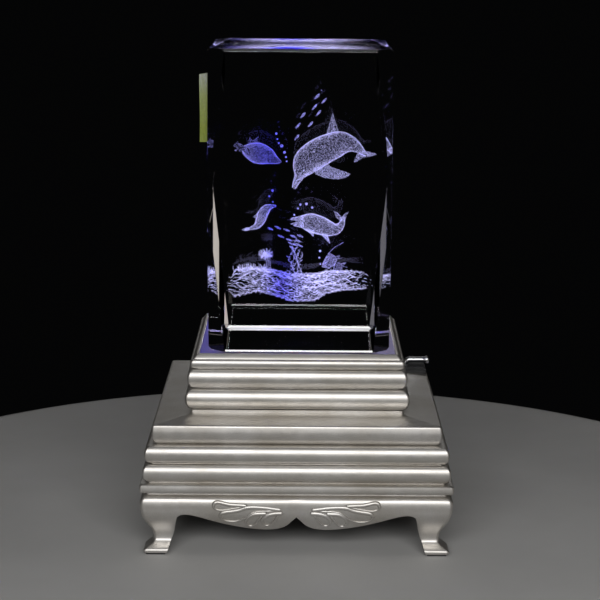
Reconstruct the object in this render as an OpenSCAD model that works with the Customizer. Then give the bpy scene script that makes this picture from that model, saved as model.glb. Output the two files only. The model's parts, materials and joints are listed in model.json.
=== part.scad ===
// Crystal block with a sea scene engraved inside it, on a rotating two-tier light base.
// Millimetres. The origin is on the table under the base's centre, +Z is up and the front faces -Y.

/* [Crystal] */
// Width and depth of the crystal block
crystal_w = 50; // [44:1:51]
// Height of the crystal block
crystal_h = 82.8; // [70:0.1:95]
// Length that a tapered corner facet takes off each face at the block's two ends
crystal_facet = 4.6; // [3:0.1:6]
// Bevel on the edges of the block's top and bottom faces
crystal_bevel = 0.7; // [0.3:0.1:1.6]
// How far right of the tray's centre the block stands
crystal_shift = 0.3; // [-1.5:0.1:1.5]

/* [Turntable] */
// Height of the rim's top above the table
rim_z = 53; // [52.5:0.1:53.5]
// Half width of the rim at the foot of its sloped face
rim_half = 28.6; // [28.4:0.1:28.8]
// Half width of the turntable over its lowest rib
turntable_half = 30.7; // [30.4:0.1:30.8]

/* [Lower tier] */
// Half width of the hipped top's outer edge
hip_half = 38.9; // [38.6:0.1:39.1]
// Half width of the ledge above the skirt
ledge_half = 42.4; // [42.2:0.1:42.6]

/* [Skirt and feet] */
// Half width of the skirt at the swell of the cabriole curve
swell_half = 42.3; // [42:0.1:42.4]
// Half width of the legs at the ankle
ankle_half = 38.8; // [38.4:0.1:39.2]
// Half width of the legs at the toe
toe_half = 41.5; // [41:0.1:41.8]
// Height that the leaf relief stands out of the skirt
leaf_relief = 0.45; // [0.2:0.05:0.6]

/* [Switch] */
// Angle between the lever's two positions
lever_throw = 60; // [30:5:60]

/* [Drive] */
// Gear module
gear_module = 0.7; // [0.7]
// Teeth on the turntable gear
gear_teeth = 45; // [45]
// Teeth on the drive pinion
pinion_teeth = 15; // [15]

/* [Hidden] */
$fn = 48;
// Half length of the long extrusions that mouldings are cut from
reach = 60;
// Overshoot of a cut past the face that it opens
past = 1;

// Heights of the base, from the table up
pad_h = 0.5;
skirt_top = 16.7;
groove_top = 17.7;
ledge_top = 19.9;
rib_c_z = 20.3;
rib_b_z = 25.4;
rib_a_z = 30.4;
hip_edge_z = 35.75;
hip_top_z = 36.6;
plinth_z = 37.6;
turntable_z = 37.9;
ceiling_z = 33.6;
hip_top_half = 29.4;
plinth_half = 29.1;
cavity_half = 36.4;

// Bottom cover and battery bay
cover_z = 12;
cover_t = 1.6;
cover_half = 36.6;
cover_top = cover_z + cover_t;
bay_x = 24.3;
bay_y = 16.4;
door_x = 25;
door_y = 17.2;
door_t = 1.3;
door_gap = 0.2;
door_top = cover_z - door_gap;
rail_t = 1;
cover_screw_at = [32, 21];
cell_r = 5.25;
cell_len = 44.5;
cell_pitch = 11;
cell_z = 19.3;
holder_x = 26.5;
holder_y = 17.4;
holder_wall = 0.9;
holder_top = 25.9;

// Drive
gear_r = gear_module * gear_teeth / 2;
pinion_r = gear_module * pinion_teeth / 2;
centre_distance = gear_r + pinion_r;
gear_z = 28.5;
gear_t = 3.5;
shaft_r = 1.5;
hub_r = 8;
hub_bore_r = 6.2;
hub_bottom = 27.3;
running_gap = 0.05;
bush_r = 10;
bush_flange_r = 13;
bush_bottom = 32.3;
bush_flange_z = 36.7;
floor_t = 1.6;
floor_top = turntable_z + floor_t;
floor_screw_at = 23.2;
case_y = [18.4, 35.4];
ear_at = [15.5, 33.4];
motor_at = [11.5, 24.6, 21];
motor_len = 13;

// Light
rim_lean = 1.1;
window_half = 26.8;
window_t = 1.5;
window_top = rim_z - 0.2;
shell_half = 26.2;
post_r = 5.4;
post_bore_r = 3;
board_z = 43;
board_t = 1.2;
board_half = 13;
led_r = 1.5;
led_h = 3.8;
led_at = 8.5;

// Switch at the right rear corner of the lower tier
bezel_x = [30.6, 38.7];
bezel_y = [22.3, 38.7];
bezel_z = 35.6;
bezel_top = 37;
neck_x = [31, 35.6];
neck_y = [26, 36];
lever_at = [32.6, 31];
lever_z = 38.3;
lever_r = 0.9;
lever_tip_x = 40;
switch_x = [29.2, 36.2];
switch_y = [24.4, 36.2];
switch_floor = 25.4;
switch_wall = 0.8;

// ---------- Helpers ----------

// A cuboid between two values on each axis
module block(x, y, z) {
    translate([x[0], y[0], z[0]]) cube([x[1] - x[0], y[1] - y[0], z[1] - z[0]]);
}

// A cuboid centred on the Z axis with a square plan
module square_block(half, z) {
    block([-half, half], [-half, half], z);
}

// An upright disc or rod between two heights
module rod(r, z) {
    translate([0, 0, z[0]]) cylinder(r = r, h = z[1] - z[0]);
}

// The children at all four corners of a rectangle
module at_corners(x, y) {
    for (sx = [-1, 1])
        for (sy = [-1, 1])
            translate([sx * x, sy * y, 0]) children();
}

// The children on all four sides of the base
module on_four_sides() {
    for (turn = [0:90:270])
        rotate([0, 0, turn]) children();
}

// The square solid whose front view and side view are both the given outline
module square_moulding() {
    intersection() {
        rotate([90, 0, 0]) linear_extrude(height = 2 * reach, center = true) children();
        rotate([90, 0, 90]) linear_extrude(height = 2 * reach, center = true) children();
    }
}

// One convex rib in outline: crown is its half width, sag how far it swells out
module rib_outline(crown, z, h, sag) {
    r = (h * h / 4 + sag * sag) / (2 * sag);
    intersection() {
        translate([-crown - past, z]) square([2 * (crown + past), h]);
        union() {
            for (side = [-1, 1])
                translate([side * (crown - r), z + h / 2]) circle(r = r);
            translate([r - crown, z]) square([2 * (crown - r), h]);
        }
    }
}

// Points on a cubic Bezier curve through four control points
function bezier(p, steps) = [
    for (i = [0:steps])
        let (t = i / steps, u = 1 - t)
        u * u * u * p[0] + 3 * u * u * t * p[1] + 3 * u * t * t * p[2] + t * t * t * p[3]
];

// An outline made whole from its right half
function mirrored(half) = concat(half, [for (i = [len(half) - 1:-1:0]) [-half[i][0], half[i][1]]]);

// A screw with its head at z = 0 and its shank upwards
module screw(head_r, head_t, shank_r, length) {
    difference() {
        union() {
            rod(head_r, [0, head_t]);
            rod(shank_r, [0, length]);
        }
        for (turn = [0, 90])
            rotate([0, 0, turn]) block([-head_r * 0.6, head_r * 0.6], [-0.2, 0.2], [-past, head_t * 0.5]);
    }
}

// A round wire along a list of points, as one closed surface
function wire_side(path, i) =
    let (last = len(path) - 1, d = path[min(i + 1, last)] - path[max(i - 1, 0)])
    d / norm(d);
function wire_ring(path, i, r, sides) =
    let (
        along = wire_side(path, i),
        seed = abs(along[2]) < 0.9 ? [0, 0, 1] : [0, 1, 0],
        across = cross(along, seed) / norm(cross(along, seed)),
        up = cross(across, along)
    )
    [for (k = [0:sides - 1]) path[i] + r * (cos(360 * k / sides) * across + sin(360 * k / sides) * up)];
module wire(path, r, sides = 8) {
    rings = len(path);
    points = [for (i = [0:rings - 1]) each wire_ring(path, i, r, sides)];
    skin = [
        for (i = [0:rings - 2])
            for (k = [0:sides - 1])
                let (a = i * sides + k, b = i * sides + (k + 1) % sides)
                [a, b, b + sides, a + sides]
    ];
    first = [for (k = [sides - 1:-1:0]) k];
    final = [for (k = [0:sides - 1]) (rings - 1) * sides + k];
    polyhedron(points = points, faces = concat([first], skin, [final]));
}

// ---------- Crystal ----------

// A half space that cuts one tapered facet off the edge at the +X +Y corner of the block's upper half
module facet_cut(half_h) {
    depth = crystal_facet / sqrt(2);
    lean = atan(depth / half_h);
    translate([crystal_w / 2, crystal_w / 2, 0])
        rotate([0, 0, 45])
            rotate([0, -lean, 0])
                translate([0, -reach / 2, 0]) cube([reach, reach, 2 * reach]);
}

module bevel_cuts(half_h) {
    on_four_sides()
        translate([0, -crystal_w / 2, half_h - crystal_bevel])
            rotate([-45, 0, 0])
                translate([-reach, -reach, 0]) cube([2 * reach, reach, reach]);
}

module crystal_block() {
    half_h = crystal_h / 2;
    color([0.85, 0.87, 0.95, 0.35])
        translate([crystal_shift, 0, window_top + half_h])
            difference() {
                cube([crystal_w, crystal_w, crystal_h], center = true);
                for (end = [0, 1])
                    mirror([0, 0, end]) {
                        on_four_sides() facet_cut(half_h);
                        bevel_cuts(half_h);
                    }
            }
}

// Puts the children inside the block, measured from the centre of its bottom face
module in_crystal(at) {
    translate([crystal_shift + at[0], at[1], window_top + at[2]]) children();
}

// Body of an engraved sea animal along X, nose at +X, with its fins
function body_radius(t, r) = r * pow(sin(180 * pow(t, 0.75)), 0.8);
module swimmer(length, girth, pitch) {
    steps = 10;
    outline = [for (i = [0:steps]) [body_radius(i / steps, girth / 2), length * (0.5 - i / steps)]];
    fin_t = girth * 0.12;
    rotate([0, -pitch, 0]) {
        rotate([0, 90, 0]) rotate_extrude($fn = 24) polygon(outline);
        rotate([90, 0, 0])
            linear_extrude(height = fin_t, center = true)
                polygon([
                    [length * 0.12, girth * 0.3],
                    [-length * 0.12, girth * 0.85],
                    [-length * 0.1, girth * 0.3]
                ]);
        linear_extrude(height = fin_t, center = true)
            polygon([
                [-length * 0.38, 0],
                [-length * 0.56, girth * 0.7],
                [-length * 0.49, 0],
                [-length * 0.56, -girth * 0.7]
            ]);
    }
}

module engraved_dolphins() {
    color([0.78, 0.78, 0.95]) {
        in_crystal([7, -4, 55]) swimmer(26, 7, 22 + 180);
        in_crystal([6, 3, 33.5]) swimmer(15, 4.5, 180 - 6);
        in_crystal([-11, 2, 34]) swimmer(11, 3, 40);
    }
}

module engraved_fish() {
    color([0.45, 0.45, 1]) {
        in_crystal([-11, 0, 56]) swimmer(11, 5, -18);
        in_crystal([9, -6, 21.5]) swimmer(6, 4, 0);
        for (i = [0:6])
            in_crystal([1 + i * 1.1, 4, 57 + i * 2.2]) swimmer(2.4, 1, 60);
        for (i = [0:5])
            in_crystal([-8 + i * 1.6, -3, 31 - i * 0.6]) swimmer(2, 0.9, 180);
    }
}

module engraved_reef() {
    crest = [for (i = [0:12]) [19 - i * 38 / 12, 19 + 0.9 * sin(i * 70)]];
    bed = [for (i = [0:12]) [-19 + i * 38 / 12, 14 + 1.1 * sin(i * 95)]];
    color([0.7, 0.72, 0.95])
        in_crystal([0, 0, 0])
            rotate([90, 0, 0])
                linear_extrude(height = 26, center = true) polygon(concat(crest, bed));
}

module price_label() {
    label_h = 19;
    label_t = 0.2;
    stuck_len = 15;
    flag = 2.7;
    left_face = crystal_shift - crystal_w / 2;
    label_z = window_top + 56.4;
    color([0.85, 0.9, 0.45]) {
        block([left_face - label_t, left_face], [-12, -12 + stuck_len], [label_z, label_z + label_h]);
        block([left_face - flag, left_face - label_t], [-12, -12 + label_t], [label_z, label_z + label_h]);
    }
}

// ---------- Turntable ----------

module turntable_outline() {
    core_half = rim_half - 1.4;
    rib_outline(rim_half + 0.7, 49.1, 2.5, 0.45);
    rib_outline(rim_half + 1.5, 43.7, 5.2, 1);
    rib_outline(turntable_half, turntable_z, 5.7, 1.3);
    translate([-core_half, turntable_z]) square([2 * core_half, 13]);
    polygon([
        [-rim_half, 51.55],
        [rim_half, 51.55],
        [rim_half - rim_lean, rim_z],
        [rim_lean - rim_half, rim_z]
    ]);
}

module turntable_housing() {
    ledge_z = window_top - window_t;
    lip_half = 24.6;
    lip_t = 2;
    color("silver")
        difference() {
            union() {
                difference() {
                    square_moulding() turntable_outline();
                    square_block(shell_half, [turntable_z - past, ledge_z - lip_t]);
                    square_block(lip_half, [turntable_z, rim_z + past]);
                    square_block(window_half, [ledge_z, rim_z + past]);
                }
                at_corners(floor_screw_at, floor_screw_at) rod(3.1, [floor_top, 46]);
            }
            at_corners(floor_screw_at, floor_screw_at) rod(1, [floor_top - past, 44]);
        }
}

module light_window() {
    color([0.9, 0.9, 1])
        square_block(window_half, [window_top - window_t, window_top]);
}

module turntable_floor() {
    color("dimgray")
        difference() {
            union() {
                square_block(shell_half, [turntable_z, floor_top]);
                rod(hub_r, [hub_bottom, floor_top]);
            }
            rod(hub_bore_r, [hub_bottom - past, floor_top + past]);
            at_corners(floor_screw_at, floor_screw_at) {
                rod(1.3, [turntable_z - past, floor_top + past]);
                rod(2, [turntable_z - past, turntable_z + 0.8]);
            }
            difference() {
                rod(hub_r + past, [hub_bottom + 0.4, gear_z]);
                rod(hub_r - 0.6, [hub_bottom + 0.4 - past, gear_z + past]);
            }
        }
}

module turntable_screws() {
    color("gray")
        at_corners(floor_screw_at, floor_screw_at)
            translate([0, 0, turntable_z + 0.1]) screw(2, 0.7, 1, 5.5);
}

// Outline of a spur gear, with a tooth centred on the angle given by tooth_at
module gear_outline(teeth, tooth_at) {
    r = gear_module * teeth / 2;
    root = r - 1.2 * gear_module;
    tip = r + 0.85 * gear_module;
    step = 360 / teeth;
    polygon([
        for (i = [0:teeth - 1])
            for (corner = [[root, -0.3], [r, -0.19], [tip, -0.1], [tip, 0.1], [r, 0.19], [root, 0.3]])
                let (a = tooth_at + step * (i + corner[1]))
                corner[0] * [cos(a), sin(a)]
    ]);
}

module turntable_gear() {
    color("white")
        difference() {
            translate([0, 0, gear_z])
                linear_extrude(height = gear_t) gear_outline(gear_teeth, 90 + 180 / gear_teeth);
            rod(hub_r, [gear_z - past, gear_z + gear_t + past]);
        }
}

module retaining_ring() {
    color("gray")
        difference() {
            rod(hub_r + 1, [hub_bottom + 0.4, gear_z]);
            rod(hub_r - 0.6, [hub_bottom, gear_z + past]);
            block([-2, 2], [-hub_r - 2, 0], [hub_bottom, gear_z + past]);
        }
}

// ---------- Lower tier ----------

module lower_outline() {
    rib_outline(hip_half + 0.3, rib_a_z, hip_edge_z - rib_a_z - 0.35, 1);
    rib_outline(41.1, rib_b_z, 5, 1);
    rib_outline(41.6, rib_c_z, 5.1, 1);
    rib_outline(ledge_half, groove_top, ledge_top - groove_top, 0.25);
    translate([-38, groove_top]) square([76, hip_edge_z - groove_top - 0.1]);
    translate([-40, groove_top + 0.5]) square([80, 4]);
    polygon([
        [-hip_half, hip_edge_z - 0.45],
        [hip_half, hip_edge_z - 0.45],
        [hip_half, hip_edge_z],
        [hip_top_half, hip_top_z],
        [-hip_top_half, hip_top_z],
        [-hip_half, hip_edge_z]
    ]);
    translate([-plinth_half, hip_edge_z]) square([2 * plinth_half, plinth_z - hip_edge_z]);
}

module lower_housing() {
    color("silver")
        difference() {
            union() {
                difference() {
                    square_moulding() lower_outline();
                    square_block(cavity_half, [groove_top - past, ceiling_z]);
                }
                rod(bush_r + 2.5, [bush_bottom, ceiling_z + past]);
                at_corners(cover_screw_at[0], cover_screw_at[1]) rod(3, [cover_top, ceiling_z + past]);
            }
            rod(bush_r, [bush_bottom - past, plinth_z + past]);
            rod(bush_flange_r, [bush_flange_z, plinth_z + past]);
            at_corners(cover_screw_at[0], cover_screw_at[1]) rod(1, [cover_top - past, cover_top + 9]);
            block([bezel_x[0], reach], [bezel_y[0], reach], [bezel_z, bezel_top]);
            block(neck_x, neck_y, [ceiling_z - past, bezel_z + past]);
        }
}

module turntable_bush() {
    color("ivory")
        difference() {
            union() {
                rod(bush_r, [bush_bottom, bush_flange_z]);
                rod(bush_flange_r, [bush_flange_z, turntable_z]);
            }
            rod(hub_r + running_gap, [bush_bottom - past, turntable_z + past]);
        }
}

// ---------- Skirt and feet ----------

// Right half of the skirt's outline from the side: swell, ankle and toe of the cabriole curve
function skirt_half(extra) = concat(
    bezier([[41.2 + extra, skirt_top], [42.2 + extra, skirt_top - 0.2],
        [swell_half + 0.2 + extra, 14.8], [swell_half + extra, 13.6]], 6),
    bezier([[swell_half - 0.1 + extra, 12.8], [swell_half - 0.4 + extra, 9.2],
        [ankle_half + 0.2 + extra, 7.4], [ankle_half + extra, 4.4]], 10),
    bezier([[ankle_half + extra, 4], [ankle_half + 0.1 + extra, 2.6],
        [toe_half - 0.5 + extra, 2.4], [toe_half + extra, 1.3]], 6),
    [[toe_half - 0.2 + extra, pad_h]]
);

// Opening between two feet: leg sides, shoulders, long lobes and the pointed notch at the centre
function arch_half() = concat(
    [[35.3, 0], [34.4, 2.4]],
    bezier([[33.9, 3.9], [32.9, 6.2], [33, 8.2], [32.4, 10.3]], 5),
    bezier([[32.2, 10.9], [30.4, 12], [28.4, 11.6], [25.1, 10.5]], 6),
    bezier([[24.5, 10.3], [18, 8], [12.5, 6.8], [7.5, 6.8]], 8),
    bezier([[7, 6.85], [3.6, 7], [2.2, 8.4], [1.4, 9.6]], 6),
    [[0, 11]]
);

// Closed teardrop from its round end at a to its point at b
function teardrop(a, b, w) =
    let (axis = b - a, far = norm(axis), along = axis / far, side = [-along[1], along[0]])
    [
        for (i = [0:15])
            let (t = 360 * i / 16, s = (1 - cos(t)) / 2)
            a + along * far * s + side * w / 2 * sin(t) * pow(1 - s, 0.35) * 1.2
    ];

// Leaf spray beside the notch: raised outlines of four teardrops
module leaf_spray() {
    leaves = [
        [[-21.6, 14.7], [-13.6, 14.1], 1.9],
        [[-19.8, 11.4], [-4.4, 12.9], 2.4],
        [[-13, 9.3], [-8.6, 12.2], 2.2],
        [[-8.8, 9.2], [-4.3, 12.1], 2.2]
    ];
    line_w = 0.42;
    for (leaf = leaves)
        difference() {
            polygon(teardrop(leaf[0], leaf[1], leaf[2]));
            let (d = (leaf[1] - leaf[0]) / norm(leaf[1] - leaf[0]))
                polygon(teardrop(leaf[0] + line_w * d, leaf[1] - 3 * line_w * d, leaf[2] - 2 * line_w));
        }
}

module skirt_frame() {
    wall_half = 38.4;
    post_half = 33.9;
    ring_half = 37.2;
    color("silver")
        difference() {
            union() {
                square_moulding() polygon(mirrored(skirt_half(0)));
                square_moulding()
                    translate([-40.6, skirt_top - 0.5]) square([81.2, groove_top - skirt_top + 0.5]);
                intersection() {
                    square_moulding() polygon(mirrored(skirt_half(leaf_relief)));
                    on_four_sides()
                        rotate([90, 0, 0])
                            linear_extrude(height = reach)
                                for (side = [0, 1]) mirror([side, 0]) leaf_spray();
                }
            }
            for (turn = [0, 90])
                rotate([0, 0, turn])
                    rotate([90, 0, 0])
                        linear_extrude(height = 2 * reach, center = true) polygon(mirrored(arch_half()));
            block([-post_half, post_half], [-ring_half, ring_half], [-past, groove_top + past]);
            block([-ring_half, ring_half], [-post_half, post_half], [-past, groove_top + past]);
            square_block(ring_half, [cover_z - past, groove_top + past]);
        }
}

module foot_pads() {
    color("black")
        at_corners(38.2, 38.2)
            block([-2.6, 2.6], [-2.6, 2.6], [0, pad_h]);
}

// ---------- Bottom cover, battery bay and door ----------

// The children at both ears that the gear case is screwed down by
module at_ears() {
    for (side = [-1, 1])
        translate([side * ear_at[0], ear_at[1]]) children();
}

module door_rail() {
    lip_top = door_top - door_t - door_gap;
    rail_y = door_y + door_gap;
    block([-door_x, door_x], [rail_y, rail_y + 2], [lip_top - rail_t, cover_z]);
    block([-door_x, door_x], [door_y - 1.5, rail_y + past], [lip_top - rail_t, lip_top]);
}

module bottom_cover() {
    color([0.12, 0.12, 0.13])
        difference() {
            union() {
                square_block(cover_half, [cover_z, cover_top]);
                for (side = [0, 1]) mirror([0, side, 0]) door_rail();
                at_ears() rod(2.4, [cover_z, cover_top + 3.4]);
            }
            block([-bay_x, bay_x], [-bay_y, bay_y], [cover_z - past, cover_top + past]);
            at_corners(cover_screw_at[0], cover_screw_at[1]) rod(1.3, [cover_z - past, cover_top + past]);
            at_ears() rod(0.9, [cover_top, cover_top + 5]);
        }
}

module cover_screws() {
    color("gray")
        at_corners(cover_screw_at[0], cover_screw_at[1])
            translate([0, 0, cover_z - 1.2]) screw(2.4, 1.2, 1, 9);
}

module battery_door() {
    color([0.14, 0.14, 0.15]) {
        block([-door_x, door_x], [-door_y, door_y], [door_top - door_t, door_top]);
        for (x = [17:1.6:21.8])
            block([x, x + 0.8], [-6, 6], [door_top - door_t - 0.5, door_top - door_t + 0.2]);
    }
}

module battery_holder() {
    inner_x = holder_x - holder_wall;
    inner_y = holder_y - holder_wall;
    color([0.15, 0.15, 0.16])
        difference() {
            block([-holder_x, holder_x], [-holder_y, holder_y], [cover_top, holder_top]);
            block([-inner_x, inner_x], [-inner_y, inner_y], [cover_top - past, holder_top - 1.1]);
            for (x = [-4.2, 4.2]) translate([x, 0]) rod(0.5, [holder_top - 2, holder_top + past]);
        }
}

module cell() {
    rotate([0, 90, 0]) {
        cylinder(r = cell_r, h = cell_len - 1, center = true);
        translate([0, 0, cell_len / 2 - 1]) cylinder(r = 1.9, h = 1);
    }
}

module batteries() {
    color("goldenrod")
        for (i = [-1:1])
            translate([0, i * cell_pitch, cell_z]) mirror([i == 0 ? 1 : 0, 0, 0]) cell();
}

// Cone spring that presses on a cell's flat end
function spring_path(length, turns) = [
    for (i = [0:turns * 12])
        let (t = i / (turns * 12))
        [length * t, (3.6 - 1.6 * t) * cos(360 * turns * t), (3.6 - 1.6 * t) * sin(360 * turns * t)]
];

module battery_springs() {
    gap = holder_x - holder_wall - 0.4 - cell_len / 2 + 0.5;
    wire_r = 0.25;
    color("silver")
        for (i = [-1:1])
            translate([0, i * cell_pitch, cell_z])
                mirror([i == 0 ? 1 : 0, 0, 0])
                    translate([-cell_len / 2 + 0.5 - gap + wire_r, 0, 0])
                        wire(spring_path(gap - 2 * wire_r, 3), wire_r, 6);
}

module battery_plates() {
    inner_x = holder_x - holder_wall;
    color("silver")
        for (i = [-1:1])
            for (end = [-1, 1])
                translate([end * (inner_x - 0.2), i * cell_pitch, cell_z])
                    cube([0.4, 8.6, 8.6], center = true);
}

// ---------- Motor ----------

module gearbox_case() {
    color([0.9, 0.9, 0.88])
        difference() {
            union() {
                block([-11.5, 11.5], case_y, [cover_top, gear_z - 0.6]);
                at_ears() block([-4, 4], [-2.4, 2], [cover_top + 3.4, cover_top + 5]);
            }
            translate([0, centre_distance]) rod(shaft_r + running_gap, [cover_top + 4, gear_z]);
            at_ears() rod(1.1, [cover_top, cover_top + 6]);
        }
}

module motor_can() {
    color("lightgray")
        translate(motor_at) rotate([0, 90, 0]) {
            cylinder(r = 6, h = motor_len);
            cylinder(r = 2, h = motor_len + 1.2);
        }
}

module motor_screws() {
    color("gray")
        at_ears() translate([0, 0, cover_top + 6]) mirror([0, 0, 1]) screw(1.9, 1, 0.9, 5);
}

module output_shaft() {
    color("lightgray")
        translate([0, centre_distance]) rod(shaft_r, [cover_top + 4, gear_z + gear_t + 0.4]);
}

module drive_pinion() {
    color("white")
        translate([0, centre_distance])
            difference() {
                translate([0, 0, gear_z]) linear_extrude(height = gear_t) gear_outline(pinion_teeth, -90);
                rod(shaft_r, [gear_z - past, gear_z + gear_t + past]);
            }
}

// ---------- Light ----------

module led_post() {
    color([0.9, 0.9, 0.9])
        difference() {
            union() {
                rod(6.8, [holder_top, holder_top + 1.2]);
                rod(post_r, [holder_top, board_z]);
            }
            rod(post_bore_r, [holder_top - past, board_z + past]);
            for (y = [-4.2, 4.2]) translate([0, y]) rod(0.5, [board_z - 5, board_z + past]);
        }
}

module led_board() {
    color("darkgreen")
        difference() {
            square_block(board_half, [board_z, board_z + board_t]);
            rod(2, [board_z - past, board_z + board_t + past]);
            for (y = [-4.2, 4.2]) translate([0, y]) rod(0.6, [board_z - past, board_z + board_t + past]);
        }
}

module led() {
    foot = board_z + board_t;
    rod(led_r + 0.3, [foot, foot + 0.8]);
    rod(led_r, [foot, foot + led_h]);
    translate([0, 0, foot + led_h]) sphere(r = led_r);
}

module leds_white() {
    color("white") at_corners(led_at, led_at) led();
}

module led_blue() {
    color("blue") translate([-6, 0]) led();
}

module board_screws() {
    color("gray")
        for (y = [-4.2, 4.2])
            translate([0, y, board_z + board_t + 0.7]) mirror([0, 0, 1]) screw(1.1, 0.7, 0.5, 5);
}

// ---------- Switch ----------

module switch_bezel() {
    color([0.08, 0.08, 0.08])
        difference() {
            union() {
                block(bezel_x, bezel_y, [bezel_z, bezel_top]);
                block(neck_x, neck_y, [ceiling_z, bezel_z]);
            }
            translate(lever_at) rod(lever_r + running_gap, [ceiling_z - past, bezel_top + past]);
        }
}

module switch_body() {
    color([0.1, 0.1, 0.1])
        difference() {
            block(switch_x, switch_y, [switch_floor, ceiling_z]);
            block([switch_x[0] + switch_wall, switch_x[1] - switch_wall],
                [switch_y[0] + switch_wall, switch_y[1] - switch_wall],
                [switch_floor + switch_wall, ceiling_z - switch_wall]);
            translate(lever_at) rod(lever_r + 0.3, [ceiling_z - switch_wall - past, ceiling_z + past]);
        }
}

module switch_lever() {
    tip_len = 1.4;
    color("lightgray") {
        translate(lever_at) rod(lever_r, [switch_floor + 2, lever_z]);
        translate([lever_at[0], lever_at[1], lever_z]) sphere(r = lever_r);
        translate([lever_at[0], lever_at[1], lever_z]) rotate([0, 90, 0]) {
            cylinder(r = lever_r, h = lever_tip_x - lever_at[0] - tip_len);
            translate([0, 0, lever_tip_x - lever_at[0] - tip_len - 0.8])
                cylinder(r1 = lever_r - 0.1, r2 = lever_r + 0.25, h = 0.8 + tip_len * 0.6);
            translate([0, 0, lever_tip_x - lever_at[0] - tip_len * 0.4])
                cylinder(r1 = lever_r + 0.25, r2 = lever_r - 0.1, h = tip_len * 0.4);
        }
    }
}

module switch_cam() {
    color("orange")
        translate(lever_at)
            difference() {
                union() {
                    rod(1.9, [29, 31]);
                    block([0, 2.4], [-0.7, 0.7], [29, 31]);
                }
                rod(lever_r, [28, 32]);
            }
}

module switch_contacts() {
    color("gold")
        for (side = [-1, 1])
            translate([lever_at[0] + 0.1, lever_at[1] + side * 4, 0])
                block([-1.5, 1.5], [-0.2, 0.2], [switch_floor + switch_wall, switch_floor + switch_wall + 4]);
}

// ---------- Leads ----------

// The thin insulated wires inside the base, each one smooth curve
module leads() {
    lead_r = 0.5;
    to_switch = bezier([[holder_x, 4, 22], [28.5, 4, 22], [27, 14, 24], [switch_x[0], 27, 27.5]], 14);
    motor_end = motor_at + [motor_len + 1.2, 0, -1];
    to_motor = bezier([[holder_x, -2, 20], [29.5, -2, 20], [29, 14, 16], motor_end], 14);
    color("firebrick") {
        wire([[0.9, 0, holder_top], [0.9, 0, 35], [0.9, 0, board_z]], lead_r);
        wire(to_switch, lead_r);
    }
    color("black") {
        wire([[-0.9, 0, holder_top], [-0.9, 0, 35], [-0.9, 0, board_z]], lead_r);
        wire(to_motor, lead_r);
    }
}

crystal_block();
engraved_dolphins();
engraved_fish();
engraved_reef();
price_label();
turntable_housing();
light_window();
turntable_floor();
turntable_screws();
turntable_gear();
retaining_ring();
lower_housing();
skirt_frame();
foot_pads();
bottom_cover();
cover_screws();
turntable_bush();
led_post();
led_board();
leds_white();
led_blue();
board_screws();
battery_holder();
batteries();
battery_springs();
battery_plates();
gearbox_case();
motor_can();
motor_screws();
switch_bezel();
switch_body();
switch_contacts();
leads();
output_shaft();
drive_pinion();
switch_lever();
switch_cam();
battery_door();
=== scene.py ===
import itertools
import json
import math

import bmesh
import bpy
import numpy as np
from mathutils import Matrix, Vector

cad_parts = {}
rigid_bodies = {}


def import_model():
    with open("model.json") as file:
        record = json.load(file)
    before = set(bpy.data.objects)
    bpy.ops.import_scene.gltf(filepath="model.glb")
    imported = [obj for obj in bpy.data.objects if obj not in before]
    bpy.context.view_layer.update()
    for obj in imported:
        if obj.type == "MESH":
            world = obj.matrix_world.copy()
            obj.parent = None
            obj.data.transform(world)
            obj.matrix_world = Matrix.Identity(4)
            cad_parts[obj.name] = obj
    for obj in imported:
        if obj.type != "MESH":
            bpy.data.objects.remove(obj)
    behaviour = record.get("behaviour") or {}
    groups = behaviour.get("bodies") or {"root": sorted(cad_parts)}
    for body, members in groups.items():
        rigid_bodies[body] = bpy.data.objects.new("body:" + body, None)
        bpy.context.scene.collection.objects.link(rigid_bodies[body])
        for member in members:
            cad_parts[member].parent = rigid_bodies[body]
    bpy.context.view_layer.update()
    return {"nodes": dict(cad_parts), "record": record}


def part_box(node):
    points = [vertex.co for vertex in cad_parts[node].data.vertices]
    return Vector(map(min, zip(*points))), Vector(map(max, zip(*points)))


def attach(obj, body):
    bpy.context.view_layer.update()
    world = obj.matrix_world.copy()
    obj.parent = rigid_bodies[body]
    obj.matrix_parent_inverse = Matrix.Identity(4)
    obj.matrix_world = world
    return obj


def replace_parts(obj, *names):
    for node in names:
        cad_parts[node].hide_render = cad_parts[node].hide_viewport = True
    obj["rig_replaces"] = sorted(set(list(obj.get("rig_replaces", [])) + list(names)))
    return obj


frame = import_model()

# Shapes below are in millimetres, in the CAD frame: the front faces -Y and z = 0 is the table.
MM = 0.001
rng = np.random.default_rng(7)


# ---- Node materials ----

# Places of the colour sockets on a Mix node
MIX_A, MIX_B, MIX_RESULT = 6, 7, 2
# Display colours are given in 0 to 255
WHITE = (255, 255, 255)
# DEEP_BLUE is the painted glow that the blue lamp gives the engraving
DEEP_BLUE = (40, 30, 250)


def linear(r, g, b):
    """A display colour given in 0 to 255, as the linear colour that a shader takes."""
    parts = [c / 255 for c in (r, g, b)]
    return [c / 12.92 if c < 0.04045 else ((c + 0.055) / 1.055) ** 2.4 for c in parts] + [1]


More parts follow.
